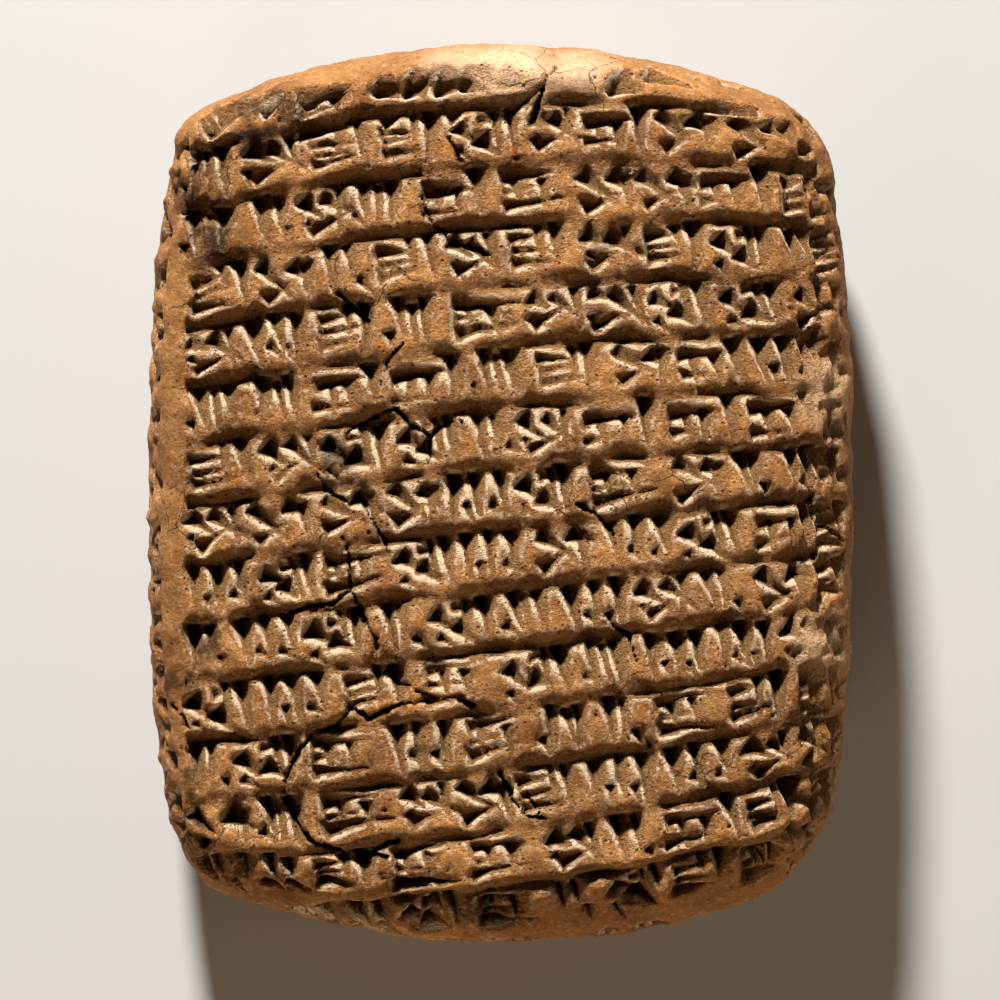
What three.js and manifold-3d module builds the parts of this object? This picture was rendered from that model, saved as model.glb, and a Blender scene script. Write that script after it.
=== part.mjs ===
// A clay letter tablet: one hand-moulded, pillow-shaped slab, written in rows of wedge strokes on its
// front, over its lower edge and on to its reverse, with a line of text up its left side.
// It lies on its reverse. Millimetres, +Z up out of the written front, +Y towards the head of the text.
// The origin is at the middle of the slab's box, on the surface that the tablet lies on.
import * as THREE from "three";
import { mergeVertices } from "three/addons/utils/BufferGeometryUtils.js";
import Module from "manifold-3d";

// The slab, and how far its edge is rounded at each corner, across (X), along (Y) and in depth.
const WIDTH = 83;
const LENGTH = 106;
const THICKNESS = 28;
const EDGE_ROUNDING_DEPTH = 11.5;
const CORNERS = {
  topLeft: { across: 3.2, along: 4 },
  topRight: { across: 6.5, along: 5.5 },
  bottomLeft: { across: 4.2, along: 9 },
  bottomRight: { across: 10, along: 12 },
};
// The sides draw in towards the ends, and the ends fall away towards the sides.
const SIDE_DRAW_IN = { atCorners: 3.9, power: 3 };
const END_FALL_AT_CORNERS = 8.4;
// The front and the reverse swell in the middle by these heights. The middle of the reverse is pressed flat
// where the tablet was laid to dry.
const FRONT_SWELL = { across: 1.9, along: 1.7 };
const REVERSE_SWELL = { across: 3.4, along: 3.4 };
const PRESSED_DEPTH = 1.1;
const SLAB_STEPS = { across: 12, along: 14, deep: 4 };

// The rows hang from ruled lines. At the head these bow with the slab, and lower down they climb to the
// right. Rise is from the middle to the right side, and bow is how far the ends hang below a straight line.
const ROW_PITCH = 7.03;
const HEAD_MARGIN = 8;
const FOOT_MARGIN = 6;
const LEFT_MARGIN = 5;
const RIGHT_MARGIN = 4;
const ROW_RISE = { atHead: 2.1, atFoot: 6.2 };
const ROW_BOW = { atHead: 4.8, atFoot: -2.8 };
const RULING = { depth: 0.95, upperLip: 1.8, lowerLip: 0.5, endFade: 0.35, steepest: 0.8, stations: 9 };
// Above the first ruling a shorter row fits under the rim. The rest of the head is worn smooth.
const HEAD_ROW = { margin: 8.5, length: 36, underRim: 1.9 };
// The text runs on over the lower edge and a little way up the reverse, and a line of it fills the left side.
const LOWER_EDGE_ROW = { belowFront: 9.5, margin: 16.5 };
const REVERSE_ROWS = { count: 2, footMargin: 12.5, sideMargin: 15.5 };
const SIDE_TEXT = { margin: 13, spacing: 4.3, unevenness: 0.25, belowFront: 8 };

// The strokes that a square-ended reed leaves, in millimetres, with the way that the tail points, in degrees.
const STROKES = {
  post: { head: 2.6, length: 5.4, turn: -90, sway: 6 },
  bar: { head: 1.9, length: 5.2, turn: 2, sway: 6 },
  longBar: { head: 2.1, length: 7.2, turn: 1, sway: 5 },
  corner: { head: 2.9, length: 3.2, turn: -40, sway: 15 },
  slant: { head: 2.3, length: 5.6, turn: -42, sway: 10 },
  sideStroke: { head: 2.6, length: 9, turn: -90, sway: 14 },
};
// A stroke is as deep as this share of its head's width. The deepest point lies a little behind the head and
// towards the steep side.
const STROKE_DEPTH_SHARE = 0.55;
const STROKE_HEAD_SET = 0.16;
const STROKE_STEEPNESS = 0.24;
const CLEAR_OF_SKIN = 1.2;

// Made-up groups of strokes stand where the signs are. A stroke is its kind, its place along the row, and its
// place below the ruling as a share of the row.
const GROUPS = [
  { width: 7.4, strokes: [["bar", 0, 0.18], ["bar", 0.2, 0.55], ["post", 6, 0.03]] },
  { width: 8.2, strokes: [["longBar", 0, 0.24], ["post", 7, 0.03]] },
  { width: 6, strokes: [["post", 1.3, 0.04], ["post", 4.2, 0.06]] },
  { width: 7.6, strokes: [["post", 1.2, 0.05], ["post", 3.8, 0.03], ["post", 6.4, 0.06]] },
  { width: 7.2, strokes: [["corner", 0.3, 0.2], ["corner", 2.6, 0.42], ["post", 5.9, 0.05]] },
  { width: 6.4, strokes: [["slant", 0.4, 0.08], ["corner", 3.9, 0.12]] },
  { width: 8, strokes: [["longBar", 0, 0.14], ["longBar", 0, 0.6]] },
  { width: 5, strokes: [["post", 1.2, 0.04]] },
  { width: 5.6, strokes: [["corner", 0.2, 0.1], ["slant", 2.5, 0.1]] },
];
const GROUP_STRETCH = { least: 0.95, most: 1.15 };
const GROUP_GAP = { least: 0.3, most: 1.3 };
const UNSTEADY_HAND = { place: 0.35, length: 0.2 };
const TEXT_SEED = 101;

const CLAY = new THREE.MeshStandardMaterial({ color: 0xb08558, roughness: 0.92, metalness: 0 });

const HALF = new THREE.Vector3(WIDTH / 2, LENGTH / 2, THICKNESS / 2);
const OUT_OF_FRONT = new THREE.Vector3(0, 0, 1);
const TOWARDS_HEAD = new THREE.Vector3(0, 1, 0);
const TOWARDS_RIGHT = new THREE.Vector3(1, 0, 0);
const mix = (from, to, share) => from + (to - from) * share;

const ROWS = 1 + Math.floor((LENGTH - HEAD_MARGIN - FOOT_MARGIN) / ROW_PITCH);
const ROW_START = LEFT_MARGIN - HALF.x;
const ROW_END = HALF.x - RIGHT_MARGIN;

// Repeatable draws from 0 to 1, so that every copy of the tablet bears the same strokes.
function drawsFrom(seed) {
  const MULTIPLIER = 48271;
  const MODULUS = 2 ** 31 - 1;
  let state = seed;
  return () => {
    state = (state * MULTIPLIER) % MODULUS;
    return state / MODULUS;
  };
}

// A point of the slab's skin, from a point of the skin of the cube that runs from -1 to 1.
function slabPoint(cubePoint) {
  const rightness = (cubePoint.x + 1) / 2;
  const headness = (cubePoint.y + 1) / 2;
  const rounding = (way) =>
    mix(
      mix(CORNERS.bottomLeft[way], CORNERS.bottomRight[way], rightness),
      mix(CORNERS.topLeft[way], CORNERS.topRight[way], rightness),
      headness,
    );
  const radii = new THREE.Vector3(rounding("across"), rounding("along"), EDGE_ROUNDING_DEPTH);
  const onBox = cubePoint.clone().multiply(HALF);
  const reach = HALF.clone().sub(radii);
  const core = onBox.clone().clamp(reach.clone().negate(), reach);
  const outward = onBox.clone().sub(core).divide(radii).normalize();
  const point = core.add(outward.multiply(radii));

  const across = point.x / HALF.x;
  const along = point.y / HALF.y;
  const isFront = cubePoint.z > 0;
  const swell = isFront ? FRONT_SWELL : REVERSE_SWELL;
  const fall = swell.across * across ** 2 + swell.along * along ** 2;
  const pressed = isFront ? 0 : PRESSED_DEPTH;
  const height = HALF.z + point.z - cubePoint.z * (fall - pressed);
  return new THREE.Vector3(
    point.x - across * SIDE_DRAW_IN.atCorners * Math.abs(along) ** SIDE_DRAW_IN.power,
    point.y - along * END_FALL_AT_CORNERS * across ** 2,
    Math.max(height, 0),
  );
}

// The slab before it is written on: a cube's net of squares, closer together towards the slab's edges.
function slabGeometry({ across, along, deep }) {
  const closerAtEnds = (t) => (t + Math.sin((t * Math.PI) / 2)) / 2;
  const net = new THREE.BoxGeometry(2, 2, 2, across, along, deep);
  net.deleteAttribute("normal");
  net.deleteAttribute("uv");
  const position = net.getAttribute("position");
  for (let i = 0; i < position.count; i++) {
    const onCube = new THREE.Vector3().fromBufferAttribute(position, i);
    onCube.x = closerAtEnds(onCube.x);
    onCube.y = closerAtEnds(onCube.y);
    const onSlab = slabPoint(onCube);
    position.setXYZ(i, onSlab.x, onSlab.y, onSlab.z);
  }
  return mergeVertices(net);
}

// Where a straight look at the slab from outside meets its skin, and the way that the skin faces there.
const blankSlab = new THREE.Mesh(slabGeometry(SLAB_STEPS), CLAY);
const looker = new THREE.Raycaster();
function skinAt(from, look) {
  looker.set(from, look);
  const hit = looker.intersectObject(blankSlab)[0];
  return hit && { point: hit.point, normal: hit.face.normal };
}
const skinOfFrontAt = (x, y) => skinAt(new THREE.Vector3(x, y, 2 * THICKNESS), OUT_OF_FRONT.clone().negate());

// The part of a way that lies along the skin.
const alongSkin = (way, { normal }) => way.clone().addScaledVector(normal, -way.dot(normal)).normalize();

// The place on the skin that is some distance away from another, over the curve of the slab.
function stepOverSkin(skin, way, distance) {
  const from = skin.point.clone().addScaledVector(alongSkin(way, skin), distance);
  return skinAt(from.addScaledVector(skin.normal, THICKNESS), skin.normal.clone().negate());
}

// How far along Y a ruled line lies at x.
function rulingY(row, x) {
  const atMiddle = HALF.y - HEAD_MARGIN - ROW_PITCH * row;
  const towardsFoot = (HALF.y - atMiddle) / LENGTH;
  const across = x / HALF.x;
  const rise = mix(ROW_RISE.atHead, ROW_RISE.atFoot, towardsFoot);
  const bow = mix(ROW_BOW.atHead, ROW_BOW.atFoot, towardsFoot);
  return atMiddle + rise * across - bow * across ** 2;
}

// One stroke of a kind, as the hand really makes it, u along the row and v below its ruling.
function handMade(kind, u, v, draw) {
  const { head, length, turn, sway } = STROKES[kind];
  return {
    u: u + UNSTEADY_HAND.place * (draw() - 0.5),
    v: v * ROW_PITCH + UNSTEADY_HAND.place * (draw() - 0.5),
    length: length * (1 + UNSTEADY_HAND.length * (draw() - 0.5)),
    turn: THREE.MathUtils.degToRad(turn + sway * (2 * draw() - 1)),
    head,
  };
}

// The strokes of one line of text, from start to end along it.
function writtenLine(start, end, draw) {
  const strokes = [];
  let u = start;
  while (u < end) {
    const group = GROUPS[Math.floor(draw() * GROUPS.length)];
    const stretch = mix(GROUP_STRETCH.least, GROUP_STRETCH.most, draw());
    for (const [kind, along, below] of group.strokes)
      strokes.push(handMade(kind, u + along * stretch, below, draw));
    u += group.width * stretch + mix(GROUP_GAP.least, GROUP_GAP.most, draw());
  }
  return strokes.filter((stroke) => stroke.u < end);
}

// The strokes of a line, laid on the skin. The line's own place at u is looked for from outside, and each
// stroke hangs below it. Its tail's heading is made of the way that the line runs and the way up the line.
function laidOnSkin(strokes, { from, look, runs, up }) {
  const laid = [];
  for (const stroke of strokes) {
    const onLine = skinAt(from(stroke.u), look);
    const skin = onLine && stepOverSkin(onLine, up, -stroke.v);
    const heading = runs.clone().multiplyScalar(Math.cos(stroke.turn));
    heading.addScaledVector(up, Math.sin(stroke.turn));
    if (skin) laid.push({ ...stroke, skin, heading });
  }
  return laid;
}

function frontRow(row, start, end, underRim, draw) {
  const middle = (start + end) / 2;
  const climb = rulingY(row, middle + 0.5) - rulingY(row, middle - 0.5);
  return laidOnSkin(writtenLine(start, end, draw), {
    from: (u) => new THREE.Vector3(u, rulingY(row, u) - underRim, 2 * THICKNESS),
    look: OUT_OF_FRONT.clone().negate(),
    runs: new THREE.Vector3(1, climb, 0).normalize(),
    up: new THREE.Vector3(-climb, 1, 0).normalize(),
  });
}

function frontStrokes(draw) {
  const headStart = HEAD_ROW.margin - HALF.x;
  const laid = frontRow(-1, headStart, headStart + HEAD_ROW.length, HEAD_ROW.underRim, draw);
  for (let row = 0; row < ROWS; row++) laid.push(...frontRow(row, ROW_START, ROW_END, 0, draw));
  return laid;
}

function lowerEdgeStrokes(draw) {
  const halfLine = HALF.x - LOWER_EDGE_ROW.margin;
  return laidOnSkin(writtenLine(-halfLine, halfLine, draw), {
    from: (u) => new THREE.Vector3(u, -LENGTH, THICKNESS - LOWER_EDGE_ROW.belowFront),
    look: TOWARDS_HEAD,
    runs: TOWARDS_RIGHT,
    up: OUT_OF_FRONT,
  });
}

function reverseStrokes(draw) {
  const halfLine = HALF.x - REVERSE_ROWS.sideMargin;
  const laid = [];
  for (let row = 0; row < REVERSE_ROWS.count; row++) {
    const y = REVERSE_ROWS.footMargin + ROW_PITCH * row - HALF.y;
    laid.push(
      ...laidOnSkin(writtenLine(-halfLine, halfLine, draw), {
        from: (u) => new THREE.Vector3(u, y, -THICKNESS),
        look: OUT_OF_FRONT,
        runs: TOWARDS_RIGHT,
        up: TOWARDS_HEAD.clone().negate(),
      }),
    );
  }
  return laid;
}

function leftSideStrokes(draw) {
  const { margin, spacing, unevenness, belowFront } = SIDE_TEXT;
  const halfLine = HALF.y - margin;
  const strokes = [];
  for (let u = -halfLine; u < halfLine; u += spacing * mix(1 - unevenness, 1 + unevenness, draw()))
    strokes.push(handMade("sideStroke", u, 0, draw));
  return laidOnSkin(strokes, {
    from: (u) => new THREE.Vector3(-WIDTH, u, THICKNESS - belowFront),
    look: TOWARDS_RIGHT,
    runs: TOWARDS_HEAD,
    up: OUT_OF_FRONT,
  });
}

// A closed faceted body as a solid.
const wasm = await Module();
wasm.setup();
function solidOf(geometry) {
  const vertProperties = new Float32Array(geometry.getAttribute("position").array);
  const triVerts = new Uint32Array(geometry.getIndex().array);
  return new wasm.Manifold(new wasm.Mesh({ numProp: 3, vertProperties, triVerts }));
}
const bodyFrom = (points, faces) =>
  solidOf(new THREE.BufferGeometry().setFromPoints(points).setIndex(faces.flat()));

// The reed's corner as it is pressed in: a three-sided point that stands clear of the skin on the outside.
function strokeCutter({ skin, heading, length, head }) {
  const tailwards = alongSkin(heading, skin);
  const sideways = skin.normal.clone().cross(tailwards);
  const onSkin = (x, y) => skin.point.clone().addScaledVector(tailwards, x).addScaledVector(sideways, y);
  const depth = head * STROKE_DEPTH_SHARE;
  const deepest = onSkin(head * STROKE_HEAD_SET, -head * STROKE_STEEPNESS);
  deepest.addScaledVector(skin.normal, -depth);
  const spread = (depth + CLEAR_OF_SKIN) / depth;
  const outside = (x, y) => onSkin(x, y).sub(deepest).multiplyScalar(spread).add(deepest);
  return bodyFrom(
    [deepest, outside(0, head / 2), outside(0, -head / 2), outside(length, 0)],
    [
      [0, 2, 1],
      [0, 1, 3],
      [0, 3, 2],
      [1, 2, 3],
    ],
  );
}

// A ruled line: a long notch over the row's head, gentle on the side of the row above and steep below. Its
// stations stand closer together to the right, where the slab turns down.
function rulingCutter(row) {
  const lastStation = RULING.stations - 1;
  const onSlab = [];
  for (let i = 0; i <= lastStation; i++) {
    const x = mix(ROW_START, ROW_END, Math.sin((i / lastStation) * (Math.PI / 2)));
    const skin = skinOfFrontAt(x, rulingY(row, x));
    if (skin && skin.normal.z > RULING.steepest) onSlab.push(skin);
  }
  const points = [];
  onSlab.forEach((skin, i) => {
    const fade = i === 0 || i === onSlab.length - 1 ? RULING.endFade : 1;
    const reach = fade * (1 + CLEAR_OF_SKIN / RULING.depth);
    const headwards = alongSkin(TOWARDS_HEAD, skin);
    const beside = (width, height) =>
      skin.point.clone().addScaledVector(headwards, width).addScaledVector(skin.normal, height);
    points.push(
      beside(0, -RULING.depth * fade),
      beside(RULING.upperLip * reach, CLEAR_OF_SKIN),
      beside(-RULING.lowerLip * reach, CLEAR_OF_SKIN),
    );
  });
  const faces = [[0, 2, 1]];
  for (let near = 0; near < points.length - 3; near += 3) {
    const far = near + 3;
    for (let p = 0; p < 3; p++) {
      const q = (p + 1) % 3;
      faces.push([near + p, near + q, far + q], [near + p, far + q, far + p]);
    }
  }
  const end = points.length - 3;
  faces.push([end, end + 1, end + 2]);
  return bodyFrom(points, faces);
}

// The tablet: the slab with its rulings and strokes taken out of it.
function tabletGeometry() {
  const draw = drawsFrom(TEXT_SEED);
  const texts = [frontStrokes, lowerEdgeStrokes, reverseStrokes, leftSideStrokes];
  const cutters = texts.flatMap((strokesOf) => strokesOf(draw)).map(strokeCutter);
  for (let row = 0; row < ROWS; row++) cutters.push(rulingCutter(row));
  const written = solidOf(blankSlab.geometry).subtract(wasm.Manifold.union(cutters)).getMesh();
  const geometry = new THREE.BufferGeometry();
  geometry.setAttribute("position", new THREE.BufferAttribute(written.vertProperties, 3));
  return geometry.setIndex(new THREE.BufferAttribute(written.triVerts, 1));
}

const tablet = new THREE.Mesh(tabletGeometry(), CLAY);
tablet.name = "tablet";

const part = new THREE.Group();
part.add(tablet);
export default part;
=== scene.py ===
import math
import bpy
import numpy as np
from mathutils import Matrix, Vector
from mathutils.bvhtree import BVHTree


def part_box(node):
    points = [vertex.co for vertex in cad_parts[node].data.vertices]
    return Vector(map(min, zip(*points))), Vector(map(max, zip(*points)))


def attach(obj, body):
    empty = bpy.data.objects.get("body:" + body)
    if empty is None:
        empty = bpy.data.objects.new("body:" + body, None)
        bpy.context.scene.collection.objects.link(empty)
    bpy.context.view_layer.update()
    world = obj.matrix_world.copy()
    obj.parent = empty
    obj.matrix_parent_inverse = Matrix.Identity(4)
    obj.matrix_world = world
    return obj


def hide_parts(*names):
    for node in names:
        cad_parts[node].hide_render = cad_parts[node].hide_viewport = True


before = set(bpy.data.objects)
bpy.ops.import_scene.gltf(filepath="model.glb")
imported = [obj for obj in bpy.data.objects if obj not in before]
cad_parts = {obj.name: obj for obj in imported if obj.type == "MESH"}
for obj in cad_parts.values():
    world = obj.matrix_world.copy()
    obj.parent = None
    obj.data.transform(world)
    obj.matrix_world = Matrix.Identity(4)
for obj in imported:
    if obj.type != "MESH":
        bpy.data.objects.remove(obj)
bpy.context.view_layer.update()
mm = 0.001


# The slab: one cushion of river clay, patted to shape between the hands and laid on its reverse to dry.
# Its left side is steeper and sharper than the others, and its lower right corner is the roundest.
SLAB_LOW, SLAB_HIGH = (np.array(corner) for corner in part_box("tablet"))
HALF = (SLAB_HIGH - SLAB_LOW) / 2
EDGE_ROUNDING_DEPTH = 11.5 * mm
EDGE_ROUNDING_ACROSS = {
    "top left": 3.2 * mm, "top right": 6.5 * mm, "bottom left": 4.2 * mm, "bottom right": 10 * mm,
}
EDGE_ROUNDING_ALONG = {
    "top left": 4 * mm, "top right": 5.5 * mm, "bottom left": 9 * mm, "bottom right": 12 * mm,
}
SIDE_DRAW_IN_AT_CORNERS = 3.9 * mm
SIDE_DRAW_IN_POWER = 3
END_FALL_AT_CORNERS = 8.4 * mm
FRONT_SWELL = (1.9 * mm, 1.7 * mm)
REVERSE_SWELL = (3.4 * mm, 3.4 * mm)
PRESSED_DEPTH = 1.1 * mm
NET_FOR_MEASURING = (60, 76, 24)
NET_FOR_CARVING = (430, 540, 56)


def between(start, end, share):
    return start + (end - start) * share


def slab_points(cube):
    """Points of the slab's skin, from points of the skin of the cube that runs from -1 to 1."""
    rightness = (cube[:, 0] + 1) / 2
    headness = (cube[:, 1] + 1) / 2

    def rounding(corners):
        foot = between(corners["bottom left"], corners["bottom right"], rightness)
        head = between(corners["top left"], corners["top right"], rightness)
        return between(foot, head, headness)

    depth = np.full(len(cube), EDGE_ROUNDING_DEPTH)
    radii = np.column_stack([rounding(EDGE_ROUNDING_ACROSS), rounding(EDGE_ROUNDING_ALONG), depth])
    on_box = cube * HALF
    core = np.clip(on_box, radii - HALF, HALF - radii)
    outward = (on_box - core) / radii
    outward /= np.linalg.norm(outward, axis=1, keepdims=True)
    point = core + outward * radii

    across, along = point[:, 0] / HALF[0], point[:, 1] / HALF[1]
    is_front = cube[:, 2] > 0
    swell = np.where(is_front[:, None], FRONT_SWELL, REVERSE_SWELL)
    fall = swell[:, 0] * across**2 + swell[:, 1] * along**2
    height = HALF[2] + point[:, 2] - cube[:, 2] * (fall - np.where(is_front, 0, PRESSED_DEPTH))
    return np.column_stack([
        point[:, 0] - across * SIDE_DRAW_IN_AT_CORNERS * np.abs(along) ** SIDE_DRAW_IN_POWER,
        point[:, 1] - along * END_FALL_AT_CORNERS * across**2,
        np.maximum(height, 0),
    ])


def slab_net(steps):
    """The skin of the slab as a closed net of squares, closer together towards its edges."""
    skin = np.ones([count + 1 for count in steps], bool)
    skin[1:-1, 1:-1, 1:-1] = False
    number = np.full(skin.shape, -1)
    number[skin] = np.arange(skin.sum())
    cube = 2 * np.argwhere(skin) / steps - 1
    cube[:, :2] = (cube[:, :2] + np.sin(cube[:, :2] * math.pi / 2)) / 2
    squares = []
    top_and_bottom = (number[:, :, -1], number[:, :, 0].T)
    sides = (number[:, 0, :], number[:, -1, :].T, number[-1], number[0].T)
    for sheet in top_and_bottom + sides:
        ring = (sheet[:-1, :-1], sheet[1:, :-1], sheet[1:, 1:], sheet[:-1, 1:])
        squares.append(np.stack(ring, axis=-1).reshape(-1, 4))
    return slab_points(cube), np.concatenate(squares).tolist()


measured_points, measured_squares = slab_net(NET_FOR_MEASURING)
measured_skin = BVHTree.FromPolygons(measured_points.tolist(), measured_squares)


def skin_at(start, look):
    """Where a straight look from outside meets the skin, and the way that the skin faces there."""
    place, normal, _, _ = measured_skin.ray_cast(Vector(start), Vector(look))
    return place, normal


# The text: rows of wedges that the corner of a square-ended reed leaves in damp clay, each row hung from a
# line that was ruled first. Made-up groups of strokes stand where the signs are. The rows bow with the head
# of the slab, climb to the right lower down, and go on over its edges and on to the reverse.
ROW_PITCH = 7.03 * mm
HEAD_MARGIN, FOOT_MARGIN = 8 * mm, 6 * mm
LEFT_MARGIN, RIGHT_MARGIN = 5 * mm, 4 * mm
ROW_RISE = (2.1 * mm, 6.2 * mm)
ROW_BOW = (4.8 * mm, -2.8 * mm)
HEAD_ROW_MARGIN, HEAD_ROW_LENGTH, HEAD_ROW_UNDER_RIM = 8.5 * mm, 36 * mm, 1.9 * mm
LOWER_EDGE_ROW_BELOW_FRONT, LOWER_EDGE_ROW_MARGIN = 9.5 * mm, 16.5 * mm
REVERSE_ROWS, REVERSE_FOOT_MARGIN, REVERSE_SIDE_MARGIN = 2, 12.5 * mm, 15.5 * mm
ROWS = 1 + int((2 * HALF[1] - HEAD_MARGIN - FOOT_MARGIN) / ROW_PITCH)
ROW_START, ROW_END = LEFT_MARGIN - HALF[0], HALF[0] - RIGHT_MARGIN
THICKNESS = SLAB_HIGH[2]

# Each kind of stroke: the width of its head, its length, and the way that its tail points, in degrees.
STROKES = {
    "post": dict(head=2.6 * mm, length=5.4 * mm, turn=-90, sway=6),
    "bar": dict(head=1.9 * mm, length=5.2 * mm, turn=2, sway=6),
    "long bar": dict(head=2.1 * mm, length=7.2 * mm, turn=1, sway=5),
    "corner": dict(head=2.9 * mm, length=3.2 * mm, turn=-40, sway=15),
    "slant": dict(head=2.3 * mm, length=5.6 * mm, turn=-42, sway=10),
    "side stroke": dict(head=2.6 * mm, length=9 * mm, turn=-90, sway=14),
    "fine post": dict(head=2 * mm, length=4.9 * mm, turn=-90, sway=8),
    "short post": dict(head=2 * mm, length=3.6 * mm, turn=-90, sway=8),
    "fine bar": dict(head=1.6 * mm, length=4.6 * mm, turn=2, sway=7),
    "riser": dict(head=1.8 * mm, length=4.8 * mm, turn=22, sway=8),
    "tick": dict(head=1.5 * mm, length=2.6 * mm, turn=-60, sway=30),
    "side nick": dict(head=1.7 * mm, length=5 * mm, turn=-90, sway=20),
    "scratch": dict(head=0.55 * mm, length=1.3 * mm, turn=5, sway=25),
}
STROKE_DEPTH_SHARE = 0.66
# Each group: its width, its main strokes and then its finer ones, each with its place along the row in
# millimetres, and below the ruling as a share of a row.
GROUPS = [
    (7.4, [("bar", 0, 0.18), ("bar", 0.2, 0.55), ("post", 6, 0.03)],
     [("fine bar", 0.3, 0.38), ("short post", 4, 0.06)]),
    (8.2, [("long bar", 0, 0.24), ("post", 7, 0.03)],
     [("short post", 2.3, 0.3), ("short post", 4.5, 0.3), ("fine bar", 0, 0.6)]),
    (6, [("post", 1.3, 0.04), ("post", 4.2, 0.06)], [("fine post", 2.8, 0.12), ("tick", 0, 0.5)]),
    (7.6, [("post", 1.2, 0.05), ("post", 3.8, 0.03), ("post", 6.4, 0.06)],
     [("tick", 2.4, 0.45), ("tick", 5, 0.5)]),
    (7.2, [("corner", 0.3, 0.2), ("corner", 2.6, 0.42), ("post", 5.9, 0.05)],
     [("fine post", 4.3, 0.06), ("fine bar", 2.2, 0.12), ("tick", 0.4, 0.6)]),
    (6.4, [("slant", 0.4, 0.08), ("corner", 3.9, 0.12)], [("riser", 0.3, 0.66), ("fine post", 5.6, 0.2)]),
    (8, [("long bar", 0, 0.14), ("long bar", 0, 0.6)],
     [("short post", 2.2, 0.26), ("short post", 4.8, 0.26), ("fine bar", 0.2, 0.38)]),
    (5, [("post", 1.2, 0.04)], [("fine post", 2.9, 0.06), ("tick", 3.8, 0.55)]),
    (5.6, [("corner", 0.2, 0.1), ("slant", 2.5, 0.1)],
     [("riser", 0.3, 0.66), ("tick", 0.4, 0.46), ("fine post", 5, 0.1)]),
]
GROUP_STRETCH = (0.95, 1.15)
GROUP_GAP = (0.3 * mm, 1.3 * mm)
UNSTEADY_PLACE, UNSTEADY_LENGTH = 0.35 * mm, 0.2
POST_HEADS_OVER_LINE = 0.6 * mm
MAIN_STROKES_SEED, FINE_STROKES_SEED = 101, 202
DRAW_MULTIPLIER, DRAW_LIMIT = 48271, 2**31 - 1


def draws_from(seed):
    """Repeatable draws from 0 to 1."""
    state = seed
    while True:
        state = state * DRAW_MULTIPLIER % DRAW_LIMIT
        yield state / DRAW_LIMIT


main_draws = draws_from(MAIN_STROKES_SEED)
fine_draws = draws_from(FINE_STROKES_SEED)


def ruling_y(row, x):
    at_middle = HALF[1] - HEAD_MARGIN - ROW_PITCH * row
    towards_foot = (HALF[1] - at_middle) / (2 * HALF[1])
    across = x / HALF[0]
    rise, bow = between(*ROW_RISE, towards_foot), between(*ROW_BOW, towards_foot)
    return at_middle + rise * across - bow * across**2


def hand_made(kind, along, below, draws):
    """One stroke of a kind, as the hand really makes it."""
    stroke = STROKES[kind]
    over_line = POST_HEADS_OVER_LINE if kind.endswith("post") else 0
    return dict(
        along=along + UNSTEADY_PLACE * (next(draws) - 0.5),
        below=below * ROW_PITCH + UNSTEADY_PLACE * (next(draws) - 0.5) - over_line,
        length=stroke["length"] * (1 + UNSTEADY_LENGTH * (next(draws) - 0.5)),
        turn=math.radians(stroke["turn"] + stroke["sway"] * (2 * next(draws) - 1)),
        head=stroke["head"],
    )


def written_line(start, end):
    strokes = []
    along = start
    while along < end:
        width, main, fine = GROUPS[int(next(main_draws) * len(GROUPS))]
        stretch = between(*GROUP_STRETCH, next(main_draws)) * mm
        strokes += [hand_made(kind, along + u * stretch, below, main_draws) for kind, u, below in main]
        strokes += [hand_made(kind, along + u * stretch, below, fine_draws) for kind, u, below in fine]
        along += width * stretch + between(*GROUP_GAP, next(main_draws))
    return [stroke for stroke in strokes if stroke["along"] < end]


SCRATCHES_IN_ROW, SCRATCH_PAIR, SCRATCH_BAND = 7, 0.1, (0.2, 0.6)


def scratched_line(start, end):
    """The pairs of short scratches that the reed's fibres leave here and there between the strokes."""
    scratches = []
    for _ in range(SCRATCHES_IN_ROW):
        along, below = between(start, end, next(fine_draws)), between(*SCRATCH_BAND, next(fine_draws))
        scratches += [hand_made("scratch", along, below + step, fine_draws) for step in (0, SCRATCH_PAIR)]
    return scratches


# What runs over the right edge after each row, as kinds, places past the row's end in millimetres, and
# shares of a row below its ruling.
EDGE_GROUPS = [
    [("fine bar", -0.6, 0.14), ("fine bar", -0.3, 0.4), ("fine bar", -0.5, 0.66), ("short post", 2.6, 0.1)],
    [("fine bar", -0.4, 0.2), ("short post", 1.4, 0.26), ("fine bar", 1.6, 0.7), ("tick", 3.1, 0.3)],
    [("fine post", 0.2, 0.06), ("fine post", 1.8, 0.1), ("fine bar", 2.4, 0.5)],
]
# The few strokes on the head edge outside its own row, as kinds, places past the middle in millimetres, and
# shares of a row below that row's line.
HEAD_EDGE_STROKES = [
    ("corner", 12.6, 0.34), ("slant", 16.2, 0.24), ("tick", 20.6, 0.36), ("fine bar", 22.4, 0.52),
    ("riser", 25.2, 0.3), ("tick", 28, 0.5), ("fine bar", 29.6, 0.24), ("tick", 33, 0.42), ("tick", -1, 0.2),
]


def listed_strokes(start, entries):
    return [hand_made(kind, start + u * mm, below, fine_draws) for kind, u, below in entries]


def over_right_edge():
    return listed_strokes(ROW_END, EDGE_GROUPS[int(next(fine_draws) * len(EDGE_GROUPS))])


laid_strokes = []


def along_skin(way, normal):
    return (Vector(way) - normal * normal.dot(Vector(way))).normalized()


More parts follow.
